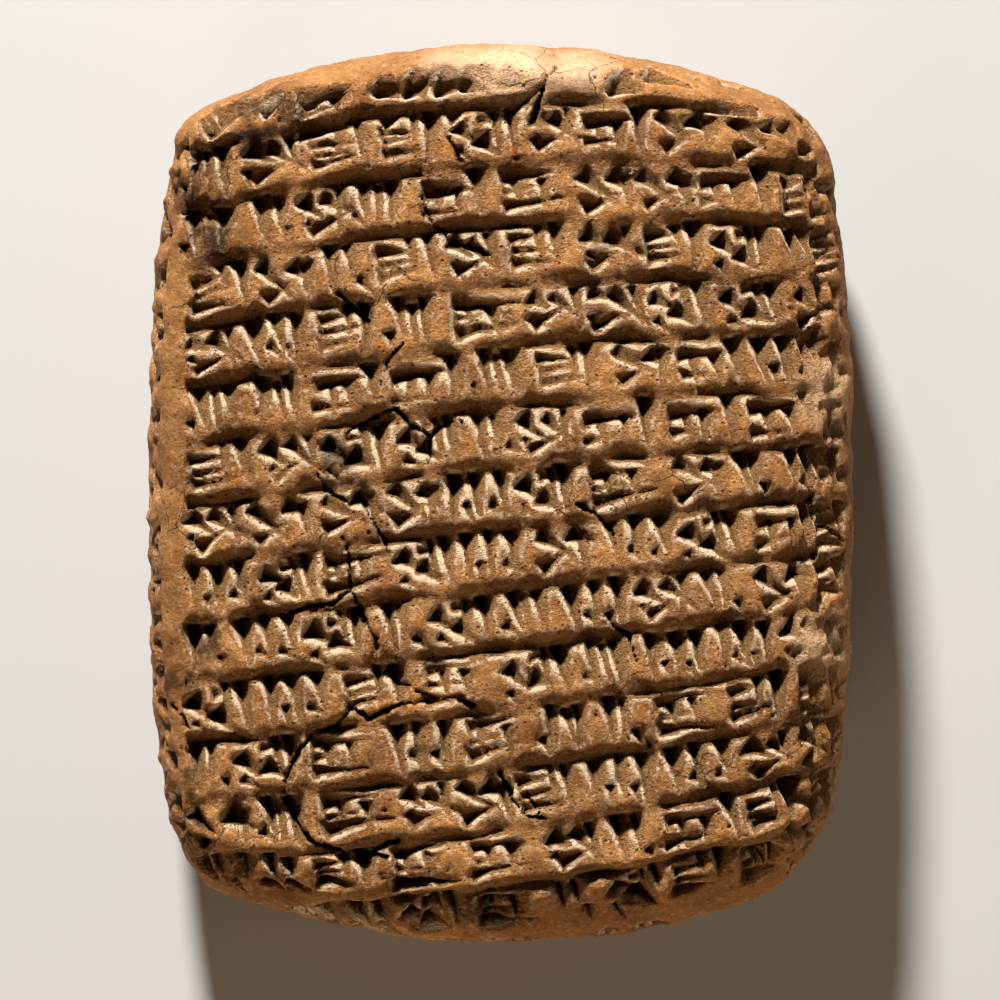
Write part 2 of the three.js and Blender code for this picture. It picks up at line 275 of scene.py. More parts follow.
def lay_on_skin(strokes, start_of, look, runs, up, boldness=1):
    """Lays a line's strokes on the skin. start_of says from where the line's own place is looked for at some
    way along it, each stroke hangs below that place over the curve of the slab, and runs and up are the ways
    along the line and up it. Boldness widens and deepens every stroke of the line."""
    for stroke in strokes:
        on_line, facing = skin_at(start_of(stroke["along"]), look)
        if on_line is None:
            continue
        below = on_line - along_skin(up, facing) * stroke["below"]
        place, normal = skin_at(below + facing * THICKNESS, -facing)
        if place is None:
            continue
        turn = stroke["turn"]
        tailwards = along_skin(math.cos(turn) * Vector(runs) + math.sin(turn) * Vector(up), normal)
        turned = Matrix((tailwards, normal.cross(tailwards), normal)).transposed().to_quaternion()
        head = stroke["head"] * boldness
        laid_strokes.append((place, turned, (stroke["length"], head, head * STROKE_DEPTH_SHARE)))


FAR = 0.2
HEAD_ROW_BOLDNESS = 1.4
for row in range(-1, ROWS):
    start, end, under_rim = ROW_START, ROW_END, 0
    if row < 0:
        start, under_rim = HEAD_ROW_MARGIN - HALF[0], HEAD_ROW_UNDER_RIM
        end = start + HEAD_ROW_LENGTH
    middle = (start + end) / 2
    climb = (ruling_y(row, middle + 0.5 * mm) - ruling_y(row, middle - 0.5 * mm)) / mm
    beyond = over_right_edge() if row >= 0 else listed_strokes(0, HEAD_EDGE_STROKES)
    lay_on_skin(
        written_line(start, end) + scratched_line(start, end) + beyond,
        lambda along: (along, ruling_y(row, along) - under_rim, FAR),
        look=(0, 0, -1), runs=Vector((1, climb, 0)).normalized(), up=Vector((-climb, 1, 0)).normalized(),
        boldness=HEAD_ROW_BOLDNESS if row < 0 else 1,
    )
lay_on_skin(
    written_line(LOWER_EDGE_ROW_MARGIN - HALF[0], HALF[0] - LOWER_EDGE_ROW_MARGIN),
    lambda along: (along, -FAR, THICKNESS - LOWER_EDGE_ROW_BELOW_FRONT),
    look=(0, 1, 0), runs=(1, 0, 0), up=(0, 0, 1),
)
for row in range(REVERSE_ROWS):
    lay_on_skin(
        written_line(REVERSE_SIDE_MARGIN - HALF[0], HALF[0] - REVERSE_SIDE_MARGIN),
        lambda along: (along, REVERSE_FOOT_MARGIN + ROW_PITCH * row - HALF[1], -FAR),
        look=(0, 0, 1), runs=(1, 0, 0), up=(0, -1, 0),
    )


def write_along_side(side, kind, margin, spacing, unevenness, below_front, draws):
    """Writes along the left side (side -1) or over the right one (side 1)."""
    strokes = []
    along = margin - HALF[1]
    while along < HALF[1] - margin:
        strokes.append(hand_made(kind, along, 0, draws))
        along += spacing * (1 + unevenness * (2 * next(draws) - 1))
    lay_on_skin(
        strokes, lambda along: (side * FAR, along, THICKNESS - below_front),
        look=(-side, 0, 0), runs=(0, -side, 0), up=(0, 0, 1),
    )


SIDE_TEXT = dict(margin=13 * mm, spacing=4.3 * mm, unevenness=0.25, below_front=8 * mm)
LEFT_NICKS = dict(margin=9 * mm, spacing=3.1 * mm, unevenness=0.6, below_front=4.2 * mm)
LEFT_TICKS = dict(margin=12 * mm, spacing=4.2 * mm, unevenness=0.7, below_front=6.4 * mm)
RIGHT_NICKS = dict(margin=11 * mm, spacing=3.6 * mm, unevenness=0.6, below_front=3.6 * mm)
write_along_side(-1, "side stroke", **SIDE_TEXT, draws=main_draws)
write_along_side(-1, "side nick", **LEFT_NICKS, draws=fine_draws)
write_along_side(-1, "tick", **LEFT_TICKS, draws=fine_draws)
write_along_side(1, "side nick", **RIGHT_NICKS, draws=fine_draws)


def mesh_object(name, points, faces=(), edges=()):
    mesh = bpy.data.meshes.new(name)
    mesh.from_pydata(points, edges, faces)
    piece = bpy.data.objects.new(name, mesh)
    bpy.context.scene.collection.objects.link(piece)
    return piece


def mark(piece, name, kind, values):
    """Writes one value for each point of a mesh, under a name."""
    key = {"FLOAT": "value", "QUATERNION": "value", "FLOAT_VECTOR": "vector"}[kind]
    piece.data.attributes.new(name, kind, "POINT").data.foreach_set(key, np.ravel(values))


strokes = mesh_object("strokes", [place for place, _, _ in laid_strokes])
mark(strokes, "lie", "QUATERNION", [tuple(turned) for _, turned, _ in laid_strokes])
mark(strokes, "size", "FLOAT_VECTOR", [size for _, _, size in laid_strokes])

# The reed's corner, one long, one wide and one deep, with its tail along X. Each cross-section is its place
# along, its half width, its depth, and how far its lowest point leans to the steep side.
REED_SECTIONS = [(0, 0.5, 1, 0.26), (0.45, 0.26, 0.66, 0.13), (1, 0.07, 0.25, 0.01)]
REED_HEAD_SET = 0.08
REED_ABOVE_SKIN = 1.8
reed_points = []
for section, (at, half_width, depth, lean) in enumerate(REED_SECTIONS):
    lowest = Vector((at + (REED_HEAD_SET if section == 0 else 0), -lean, -depth))
    for side in (half_width, -half_width):
        reed_points.append(lowest + (Vector((at, side, 0)) - lowest) * REED_ABOVE_SKIN)
    reed_points.append(lowest)
reed_faces = [(0, 2, 1), (6, 7, 8)]
for near in (0, 3):
    reed_faces += [(near, near + 3, near + 5, near + 2), (near + 2, near + 5, near + 4, near + 1)]
reed = mesh_object("reed corner", reed_points, reed_faces)

RULING_STATIONS = 60
RULING_STEEPEST = 0.6
ruling_points, ruling_edges, ruling_footwards = [], [], []
for row in range(ROWS):
    previous = None
    for station in range(RULING_STATIONS + 1):
        x = between(ROW_START, ROW_END, station / RULING_STATIONS)
        place, normal = skin_at((x, ruling_y(row, x), FAR), (0, 0, -1))
        if place is None or normal.z < RULING_STEEPEST:
            continue
        ruling_points.append(place)
        ruling_footwards.append(along_skin((0, -1, 0), normal))
        if previous is not None:
            ruling_edges.append((previous, len(ruling_points) - 1))
        previous = len(ruling_points) - 1
rulings = mesh_object("rulings", ruling_points, edges=ruling_edges)
mark(rulings, "footwards", "FLOAT_VECTOR", ruling_footwards)


# The cracks: the clay shrank as it dried and was fired, and split along lines that wander through the rows.
# Each is a route over the front, in millimetres from its middle.
CRACKS = {
    "head edge": [(6.6, 51.6), (6.4, 49.6), (5.4, 48.3), (4.5, 45.8), (4, 43.9)],
    "first row": [(-5.9, 41.6), (-4.7, 38.9)],
    "second row": [(-9.1, 34.7), (-8.1, 32), (-6.1, 29.7), (-1.2, 28)],
    "fourth row left": [(-18.7, 23.4), (-15.3, 20.1)],
    "fourth row": [(-11.2, 17.8), (-13.1, 15.5), (-13.9, 12.6)],
    "heart": [(-17.8, 7.3), (-15.4, 8.6), (-13.3, 9.8), (-12, 9.8), (-10.2, 8.1), (-7.9, 6.8), (-7.1, 7.9),
              (-4.7, 8.8), (-3.4, 7.9)],
    "below the heart": [(-8.1, 6.6), (-8.4, 3.4)],
    "left of the heart": [(-21.2, 2.4), (-20.1, 0.5), (-18.1, -0.6)],
    "long crack": [(-16.5, 0), (-15.4, -2.1), (-13.3, -5.3), (-13.2, -6.8)],
    "long crack lower": [(-18.8, -4.2), (-17.8, -6), (-17.4, -8.4), (-17.4, -11.1), (-16.5, -12.6),
                         (-15.8, -14.5), (-14.4, -16.8), (-14.4, -18.1)],
    "long crack branch": [(-17.5, -11.2), (-19.4, -12.6), (-22.5, -13), (-24.4, -13.7)],
    "tenth row": [(-13.3, -20.6), (-12, -21.7), (-7.5, -23.6)],
    "tenth row right": [(-4.9, -23.8), (-3.1, -24.4)],
    "ring": [(-8.4, -23.7), (-12.4, -24.6), (-15.2, -25.9), (-17.3, -24.9), (-19.4, -27), (-21.8, -27.7),
             (-23.3, -29.6), (-24.4, -31.7), (-25.2, -34.5), (-24.4, -37.2), (-22.3, -40), (-19.4, -41.2),
             (-16, -41.6), (-13.3, -42)],
    "ring branch": [(-14.7, -41.3), (-11.8, -40)],
    "left edge": [(-38.3, -24.6), (-37, -25.6), (-36.3, -27)],
    "left edge lower": [(-37.2, -29.3), (-35.7, -30.4)],
    "foot": [(0, -32), (1.6, -35.6), (2.9, -37.2), (5.2, -37.7)],
    "foot branch": [(3.2, -34.5), (4.8, -37.5)],
    "sixth row right": [(9.2, -1.1), (11.9, -2.9), (13.2, -4.6)],
    "ninth row right": [(13.2, -15.1), (14.8, -16.1), (16, -19.2)],
    "right edge": [(37.3, -2.7), (39, -4.2), (40.3, -5.3), (40.5, -7.3)],
    "eleventh row right": [(16.5, -28.3), (17.6, -29.1)],
}
crack_points, crack_edges = [], []
for route in CRACKS.values():
    for step, (x, y) in enumerate(route):
        place, _ = skin_at((x * mm, y * mm, FAR), (0, 0, -1))
        crack_points.append(place)
        if step:
            crack_edges.append((len(crack_points) - 2, len(crack_points) - 1))
cracks = mesh_object("cracks", crack_points, edges=crack_edges)


# Wear: where hands and the ground have rubbed the front smooth, as (x, y, radius, how much is lost), in
# millimetres from the middle of the front.
WORN_PLACES = [(1, 50, 4.6, 0.9), (-5, 50.5, 4, 0.6), (9, 50, 4, 0.7), (39, 12, 4, 0.8), (38.5, -18, 4, 0.8)]
# Soot: the dark stains of the fire, as (x, y, radius, how dark).
SOOT_PLACES = [
    (-27.7, 43.6, 5, 1), (-36, 36, 3, 1), (-33.6, 30, 3.4, 1), (-19.2, 3.7, 3, 0.9), (11.5, 29.4, 1.6, 0.7),
    (26, 24, 2.2, 0.8), (-27.7, -12.4, 2.6, 0.7), (-34.7, -17, 3, 0.8), (14.1, -1.2, 1.6, 0.9),
    (-37.6, -22, 2.6, 0.9), (-37.6, -32, 2.6, 0.9), (-37, -41, 3.2, 1), (-2.4, -49.5, 2.4, 0.9),
    (1.2, -51.8, 1.8, 0.7),
]
PATCH_EDGE = 1.5
FRONT_ONLY_ABOVE, FRONT_ONLY_FADE = 16 * mm, 8 * mm


def patches(points, places):
    """How much of a patch each point of the front has, from 0 to 1."""
    amount = np.zeros(len(points))
    for x, y, radius, strength in places:
        away = np.hypot(points[:, 0] - x * mm, points[:, 1] - y * mm) / (radius * mm)
        amount = np.maximum(amount, strength * np.clip(PATCH_EDGE - away, 0, 1))
    return amount * np.clip((points[:, 2] - FRONT_ONLY_ABOVE) / FRONT_ONLY_FADE, 0, 1)


# Pressing: every stroke is a copy of the reed's corner, and every ruling a string's notch. Each point of the
# skin sinks as deep as the deepest of them stands in it, and the clay between them stays up in rounded
# blocks. Then come the cracks, pits, lumps and grain.


class Tree:
    """A node tree that is built line by line."""

    def __init__(self, tree):
        self.tree = tree

    @classmethod
    def new(cls, name, kind, takes, gives):
        built = cls(bpy.data.node_groups.new(name, kind))
        for label, socket, value in takes:
            item = built.tree.interface.new_socket(label, in_out="INPUT", socket_type=socket)
            if value is not None:
                item.default_value = value
        for label, socket in gives:
            built.tree.interface.new_socket(label, in_out="OUTPUT", socket_type=socket)
        built.given = built.tree.nodes.new("NodeGroupInput").outputs
        built.result = built.tree.nodes.new("NodeGroupOutput").inputs
        return built

    def wire(self, value, socket):
        if isinstance(value, bpy.types.NodeSocket):
            self.tree.links.new(value, socket)
        else:
            socket.default_value = value

    def node(self, kind, inputs=None, **settings):
        """Gives the outputs of a new node, with its settings made and its inputs wired or set."""
        made = self.tree.nodes.new(kind)
        for key, value in settings.items():
            setattr(made, key, value)
        for key, value in (inputs or {}).items():
            self.wire(value, made.inputs[key])
        return made.outputs

    def calc(self, operation, *values):
        return self.node("ShaderNodeMath", dict(enumerate(values)), operation=operation)[0]

    def vector(self, operation, *values):
        return self.node("ShaderNodeVectorMath", dict(enumerate(values)), operation=operation)[0]

    def scaled(self, vector, by):
        return self.node("ShaderNodeVectorMath", {0: vector, "Scale": by}, operation="SCALE")[0]

    def ramp(self, value, low, high, to_low=0.0, to_high=1.0, kind="SMOOTHSTEP"):
        inputs = {"Value": value, "From Min": low, "From Max": high, "To Min": to_low, "To Max": to_high}
        return self.node("ShaderNodeMapRange", inputs, interpolation_type=kind)[0]

    def noise(self, place, size, detail=2.0, roughness=0.5):
        """Noise whose lumps are about that size."""
        per_metre = 1 / size if isinstance(size, float) else self.calc("DIVIDE", 1.0, size)
        inputs = {"Vector": place, "Scale": per_metre, "Detail": detail, "Roughness": roughness}
        return self.node("ShaderNodeTexNoise", inputs)

    def attribute(self, name, kind="FLOAT"):
        return self.node("GeometryNodeInputNamedAttribute", {"Name": name}, data_type=kind)[0]

    def store(self, geometry, name, value):
        inputs = {"Geometry": geometry, "Name": name, "Value": value}
        return self.node("GeometryNodeStoreNamedAttribute", inputs, data_type="FLOAT", domain="POINT")[0]

    def blur(self, value, rounds):
        inputs = {"Value": value, "Iterations": rounds}
        return self.node("GeometryNodeBlurAttribute", inputs, data_type="FLOAT")[0]

    def centred(self, noise):
        """A noise's colour as a push to any side, from -0.5 to 0.5."""
        return self.vector("SUBTRACT", noise["Color"], (0.5, 0.5, 0.5))


pressing = Tree.new(
    "Pressed clay",
    "GeometryNodeTree",
    takes=[
        ("Slab", "NodeSocketGeometry", None),
        ("Strokes", "NodeSocketObject", None),
        ("Reed Corner", "NodeSocketObject", None),
        ("Rulings", "NodeSocketObject", None),
        ("Cracks", "NodeSocketObject", None),
        ("Clay", "NodeSocketMaterial", None),
        ("Ruling Depth", "NodeSocketFloat", 1.0 * mm),
        ("Ruling Upper Lip", "NodeSocketFloat", 1.65 * mm),
        ("Ruling Lower Lip", "NodeSocketFloat", 0.5 * mm),
        ("Deepest Mark", "NodeSocketFloat", 3.0 * mm),
        ("Ruling Shallowest", "NodeSocketFloat", 0.35),
        ("Ruling Deepest", "NodeSocketFloat", 1.15),
        ("Ruling Unevenness Size", "NodeSocketFloat", 7.0 * mm),
        ("Hand Wobble", "NodeSocketFloat", 1.3 * mm),
        ("Hand Wobble Size", "NodeSocketFloat", 4.5 * mm),
        ("Edge Softness", "NodeSocketInt", 2),
        ("Softened Depth", "NodeSocketFloat", 0.92),
        ("Softened Join", "NodeSocketFloat", 0.06 * mm),
        ("Brink Spread", "NodeSocketInt", 8),
        ("Shoulder Spread", "NodeSocketInt", 18),
        ("Shoulder Rounding", "NodeSocketFloat", 0.7),
        ("Swell Spread", "NodeSocketInt", 30),
        ("Swell", "NodeSocketFloat", 1.0),
        ("Crack Half Width", "NodeSocketFloat", 0.26 * mm),
        ("Crack Depth", "NodeSocketFloat", 1.5 * mm),
        ("Crack Gape Size", "NodeSocketFloat", 5.0 * mm),
        ("Crack Raggedness", "NodeSocketFloat", 1.0 * mm),
        ("Crack Raggedness Size", "NodeSocketFloat", 1.2 * mm),
        ("Lump Height", "NodeSocketFloat", 1.5 * mm),
        ("Lump Size", "NodeSocketFloat", 5.0 * mm),
        ("Grain Height", "NodeSocketFloat", 0.3 * mm),
        ("Grain Size", "NodeSocketFloat", 1.0 * mm),
        ("Pit Depth", "NodeSocketFloat", 0.4 * mm),
        ("Pit Spacing", "NodeSocketFloat", 1.9 * mm),
        ("Seed", "NodeSocketInt", 3),
    ],
    gives=[("Tablet", "NodeSocketGeometry")],
)
given = pressing.given


def geometry_of(label, as_instance=False):
    inputs = {"Object": given[label], "As Instance": as_instance}
    return pressing.node("GeometryNodeObjectInfo", inputs)["Geometry"]


# How much longer, wider and deeper a pressed stroke comes out than it was laid.
LEAST_GROWTH, MOST_GROWTH = (0.95, 1.0, 0.95), (1.15, 1.5, 1.4)
varied_size = pressing.node(
    "FunctionNodeRandomValue",
    {"Min": LEAST_GROWTH, "Max": MOST_GROWTH, "Seed": given["Seed"]},
    data_type="FLOAT_VECTOR",
)[0]
stamped = pressing.node(
    "GeometryNodeInstanceOnPoints",
    {
        "Points": geometry_of("Strokes"),
        "Instance": geometry_of("Reed Corner", as_instance=True),
        "Rotation": pressing.attribute("lie", "QUATERNION"),
        "Scale": pressing.vector("MULTIPLY", pressing.attribute("size", "FLOAT_VECTOR"), varied_size),
    },
)[0]
stamps = pressing.node("GeometryNodeRealizeInstances", {"Geometry": stamped})[0]

ruling_line = pressing.node("GeometryNodeMeshToCurve", {"Mesh": geometry_of("Rulings")})[0]
ruling_line = pressing.node(
    "GeometryNodeSetCurveNormal",
    {"Curve": ruling_line, "Normal": pressing.attribute("footwards", "FLOAT_VECTOR")},
    mode="FREE",
)[0]


def notch_point(towards_head, down):
    """A corner of the notch's outline, whose own Y points down into the clay, and its X to the foot."""
    towards_foot = pressing.calc("MULTIPLY", towards_head, -1.0)
    return pressing.node("ShaderNodeCombineXYZ", {"X": towards_foot, "Y": down})[0]


RULING_ABOVE_SKIN = 0.4
LIP_ABOVE_SKIN = 1 + RULING_ABOVE_SKIN
above_skin = pressing.calc("MULTIPLY", given["Ruling Depth"], -RULING_ABOVE_SKIN)
lower_lip = pressing.calc("MULTIPLY", given["Ruling Lower Lip"], -LIP_ABOVE_SKIN)
upper_lip = pressing.calc("MULTIPLY", given["Ruling Upper Lip"], LIP_ABOVE_SKIN)
notch = pressing.node(
    "GeometryNodeCurvePrimitiveQuadrilateral",
    {
        "Point 1": notch_point(0.0, given["Ruling Depth"]),
        "Point 2": notch_point(lower_lip, above_skin),
        "Point 3": notch_point(0.0, above_skin),
        "Point 4": notch_point(upper_lip, above_skin),
    },
    mode="POINTS",
)[0]
string_notches = pressing.node("GeometryNodeCurveToMesh", {"Curve": ruling_line, "Profile Curve": notch})[0]
position = pressing.node("GeometryNodeInputPosition")[0]
normal = pressing.node("GeometryNodeInputNormal")[0]
wobble = pressing.centred(pressing.noise(position, given["Hand Wobble Size"], detail=3.0))
wobble = pressing.scaled(wobble, given["Hand Wobble"])
inwards = pressing.scaled(normal, pressing.calc("MULTIPLY", given["Deepest Mark"], -1.0))
below_skin = pressing.vector("ADD", pressing.vector("ADD", position, wobble), inwards)


def depth_of(shape):
    """How deep a shape stands in the clay, looked for from far under the skin."""
    ray = pressing.node(
        "GeometryNodeRaycast",
        {
            "Target Geometry": shape,
            "Source Position": below_skin,
            "Ray Direction": normal,
            "Ray Length": given["Deepest Mark"],
        },
    )
    depth = pressing.calc("SUBTRACT", given["Deepest Mark"], ray["Hit Distance"])
    return pressing.calc("MULTIPLY", depth, ray["Is Hit"])


USUAL_NOISE = (0.35, 0.65)
evenness = pressing.noise(position, given["Ruling Unevenness Size"], detail=1.0)["Fac"]
evenness = pressing.ramp(evenness, *USUAL_NOISE, given["Ruling Shallowest"], given["Ruling Deepest"])
ruled = pressing.calc("MULTIPLY", depth_of(string_notches), evenness)
press = pressing.calc("MAXIMUM", depth_of(stamps), ruled)
kept = pressing.calc("SUBTRACT", 1.0, pressing.attribute("worn"))
press = pressing.calc("MULTIPLY", press, kept)
skin = pressing.store(given["Slab"], "press", press)

press = pressing.attribute("press")
softened = pressing.blur(press, given["Edge Softness"])
spread = pressing.blur(press, given["Swell Spread"])
rounded_off = pressing.calc("MULTIPLY", softened, given["Softened Depth"])
carved = pressing.calc("SMOOTH_MAX", press, rounded_off, given["Softened Join"])
carved = pressing.calc("ADD", carved, pressing.calc("MULTIPLY", spread, given["Swell"]))
brink = pressing.calc("SUBTRACT", pressing.blur(press, given["Brink Spread"]), press)
shoulder = pressing.calc("SUBTRACT", pressing.blur(press, given["Shoulder Spread"]), press)
shoulder = pressing.calc("MAXIMUM", shoulder, 0.0)

ragged = pressing.centred(pressing.noise(position, given["Crack Raggedness Size"], detail=3.0))
ragged = pressing.scaled(ragged, given["Crack Raggedness"])
to_crack = pressing.node(
    "GeometryNodeProximity",
    {"Geometry": geometry_of("Cracks"), "Sample Position": pressing.vector("ADD", position, ragged)},
    target_element="EDGES",
)["Distance"]
CRACK_GAPE = (0.5, 1.5)
crack_gape = pressing.noise(position, given["Crack Gape Size"])["Fac"]
crack_gape = pressing.ramp(crack_gape, *USUAL_NOISE, *CRACK_GAPE)
crack_width = pressing.calc("MULTIPLY", given["Crack Half Width"], crack_gape)
cracked = pressing.calc("SUBTRACT", 1.0, pressing.calc("DIVIDE", to_crack, crack_width))
CRACK_STEEPNESS = 0.6
cracked = pressing.calc("POWER", pressing.calc("MAXIMUM", cracked, 0.0), CRACK_STEEPNESS)

STROKE_STARTS, STROKE_IS_DEEP = 0.05 * mm, 0.45 * mm
SMOOTH_BELOW, ROUGH_ABOVE = 6 * mm, 17 * mm
MOSTLY_HOLLOWS = 0.62
raised = pressing.ramp(softened, STROKE_STARTS, STROKE_IS_DEEP, 1.0, 0.0)
height = pressing.node("ShaderNodeSeparateXYZ", {0: position})["Z"]
towards_front = pressing.ramp(height, SMOOTH_BELOW, ROUGH_ABOVE)
lumps = pressing.noise(position, given["Lump Size"], detail=2.0)["Fac"]
lumps = pressing.calc("SUBTRACT", lumps, MOSTLY_HOLLOWS)
lumps = pressing.calc("MULTIPLY", lumps, pressing.ramp(towards_front, 0.0, 1.0, 0.4, 1.0))
grain = pressing.calc("SUBTRACT", pressing.noise(position, given["Grain Size"], detail=1.0)["Fac"], 0.5)
rough_share = pressing.calc("MULTIPLY", towards_front, pressing.ramp(raised, 0.0, 1.0, 0.35, 1.0))
grain = pressing.calc("MULTIPLY", grain, rough_share)
pits_per_metre = pressing.calc("DIVIDE", 1.0, given["Pit Spacing"])
pit_cells = pressing.node(
    "ShaderNodeTexVoronoi", {"Vector": pressing.vector("ADD", position, wobble), "Scale": pits_per_metre}
)
pit_chance = pressing.node("ShaderNodeSeparateXYZ", {0: pit_cells["Color"]})[0]
pit_size = pressing.ramp(pit_chance, 0.45, 1.0, 0.0, 0.22, "LINEAR")
pits = pressing.ramp(pressing.calc("SUBTRACT", pit_size, pit_cells["Distance"]), 0.0, 0.1)
pits = pressing.calc("MULTIPLY", pits, raised)

lowered = pressing.calc("MULTIPLY_ADD", shoulder, given["Shoulder Rounding"], carved)
lowered = pressing.calc("MULTIPLY_ADD", cracked, given["Crack Depth"], lowered)
lowered = pressing.calc("MULTIPLY_ADD", pits, given["Pit Depth"], lowered)
lowered = pressing.calc("SUBTRACT", lowered, pressing.calc("MULTIPLY", lumps, given["Lump Height"]))
lowered = pressing.calc("SUBTRACT", lowered, pressing.calc("MULTIPLY", grain, given["Grain Height"]))
skin = pressing.store(skin, "carved", carved)
skin = pressing.store(skin, "brink", brink)
skin = pressing.store(skin, "written", spread)
skin = pressing.store(skin, "cracked", cracked)
skin = pressing.store(skin, "lowered", lowered)
offset = pressing.scaled(normal, pressing.calc("MULTIPLY", pressing.attribute("lowered"), -1.0))
skin = pressing.node("GeometryNodeSetPosition", {"Geometry": skin, "Offset": offset})[0]
skin = pressing.node("GeometryNodeSetShadeSmooth", {"Geometry": skin})[0]
skin = pressing.node("GeometryNodeRealizeInstances", {"Geometry": skin})[0]
skin = pressing.node("GeometryNodeSetMaterial", {"Geometry": skin, "Material": given["Clay"]})[0]
pressing.wire(skin, pressing.result["Tablet"])


# The finish: low-fired clay, tan and browner in clouds, brown on the bare rim that hands have polished, with
# dust in the strokes, pale arrises that are partly a painted highlight, painted shade in the deepest hollows
# and in the cracks, small black hairlines and holes, and soot in patches.
clay = bpy.data.materials.new("fired clay")
clay.use_nodes = True
finish = Tree(clay.node_tree)
shader = clay.node_tree.nodes["Principled BSDF"]
place = finish.node("ShaderNodeTexCoord")["Object"]


def marked(name):
    return finish.node("ShaderNodeAttribute", attribute_name=name)["Fac"]


def blend(share, below, above):
    return finish.node("ShaderNodeMix", {"Factor": share, 6: below, 7: above}, data_type="RGBA")[2]


def colour(red, green, blue):
    """A colour as seen on a screen, for a socket."""
    return (*[(c / 255) ** 2.2 for c in (red, green, blue)], 1)


TAN = colour(170, 117, 64)
PALE_TAN = colour(252, 218, 178)
BROWN = colour(130, 82, 38)
RIM_BROWN = colour(112, 77, 44)
DARK_BROWN = colour(84, 42, 14)
DUST = colour(146, 110, 68)
# Near-black: the soot stains and the hairlines, and also the painted shade in the cracks.
SOOT_AND_CRACK_SHADE = colour(46, 28, 12)
MOTTLE_SIZE, SPECKLE_SIZE, CRUMB_SIZE, SOOT_FLECK_SIZE = 9 * mm, 0.7 * mm, 0.38 * mm, 2.5 * mm
BARE_DEPTH, WRITTEN_DEPTH = 0.01 * mm, 0.12 * mm
DUST_STARTS, DUST_IS_FULL = 0.6 * mm, 1.5 * mm
ARRIS_PALE_AND_HIGHLIGHT_STARTS, ARRIS_PALE_AND_HIGHLIGHT_FULL = 0.04 * mm, 0.28 * mm
# How far below the clay around it a stroke's bottom must sink before painted shade darkens it, and where
# that shade is full.
PAINTED_HOLLOW_SHADE_FULL, PAINTED_HOLLOW_SHADE_STARTS = -0.5 * mm, -0.15 * mm
HAIRLINE_CELL, HAIRLINE_PATCH = 5.5 * mm, 11 * mm
HAIRLINE_WANDER, HAIRLINE_WANDER_SIZE = 2.6 * mm, 2.5 * mm
PINHOLE_SPACING = 1.3 * mm
BUMP_DEPTH, BUMP_STARTS, BUMP_IS_FULL = 1.6 * mm, 0.02 * mm, 0.3 * mm
ROUGHEST, SMOOTHEST, SPECULAR_LEVEL = 0.9, 0.65, 0.15
mottle = finish.noise(place, MOTTLE_SIZE, detail=4.0, roughness=0.6)["Fac"]
speckle = finish.noise(place, SPECKLE_SIZE, detail=3.0, roughness=0.7)["Fac"]
crumb = finish.noise(place, CRUMB_SIZE, detail=3.0, roughness=0.8)["Fac"]
depth = marked("carved")
brink = marked("brink")

base = blend(finish.ramp(mottle, 0.35, 0.68), TAN, BROWN)
base = blend(finish.ramp(speckle, 0.48, 0.75, 0.0, 0.36), base, PALE_TAN)
base = blend(finish.ramp(marked("written"), BARE_DEPTH, WRITTEN_DEPTH, 0.6, 0.0), base, RIM_BROWN)
base = blend(finish.calc("MULTIPLY", marked("worn"), 0.35), base, PALE_TAN)
dusty = finish.ramp(depth, DUST_STARTS, DUST_IS_FULL)
dusty = finish.calc("MULTIPLY", dusty, finish.ramp(mottle, 0.2, 0.6, 0.45, 0.85))
base = blend(dusty, base, DUST)
base = blend(finish.ramp(crumb, 0.28, 0.55, 0.5, 0.0), base, DARK_BROWN)
# Pale arrises along every brink of the strokes: partly the paler clay of fresh edges, partly a painted
# highlight.
base = blend(finish.ramp(brink, ARRIS_PALE_AND_HIGHLIGHT_STARTS, ARRIS_PALE_AND_HIGHLIGHT_FULL, 0.0, 0.85), base, PALE_TAN)
# Painted shade: the bottoms of the strokes, deeper than the clay around them, are darkened towards dark
# brown.
base = blend(finish.ramp(brink, PAINTED_HOLLOW_SHADE_FULL, PAINTED_HOLLOW_SHADE_STARTS, 0.6, 0.0), base, DARK_BROWN)
soot_flecks = finish.ramp(finish.noise(place, SOOT_FLECK_SIZE, detail=4.0)["Fac"], 0.38, 0.6, 0.0, 0.85)
base = blend(finish.calc("MULTIPLY", marked("sooty"), soot_flecks), base, SOOT_AND_CRACK_SHADE)

wander = finish.centred(finish.noise(place, HAIRLINE_WANDER_SIZE, detail=3.0))
crazed_place = finish.vector("ADD", place, finish.scaled(wander, HAIRLINE_WANDER))
craze = finish.node(
    "ShaderNodeTexVoronoi", {"Vector": crazed_place, "Scale": 1 / HAIRLINE_CELL}, feature="DISTANCE_TO_EDGE"
)["Distance"]
crazed_here = finish.ramp(finish.noise(place, HAIRLINE_PATCH)["Fac"], 0.54, 0.64)
hairlines = finish.calc("MULTIPLY", finish.ramp(craze, 0.004, 0.022, 0.8, 0.0), crazed_here)
base = blend(hairlines, base, SOOT_AND_CRACK_SHADE)
pinhole_cells = finish.node("ShaderNodeTexVoronoi", {"Vector": place, "Scale": 1 / PINHOLE_SPACING})
pinholes = finish.ramp(pinhole_cells["Distance"], 0.08, 0.2, 1.0, 0.0)
base = blend(finish.calc("MULTIPLY", pinholes, 0.6), base, DARK_BROWN)
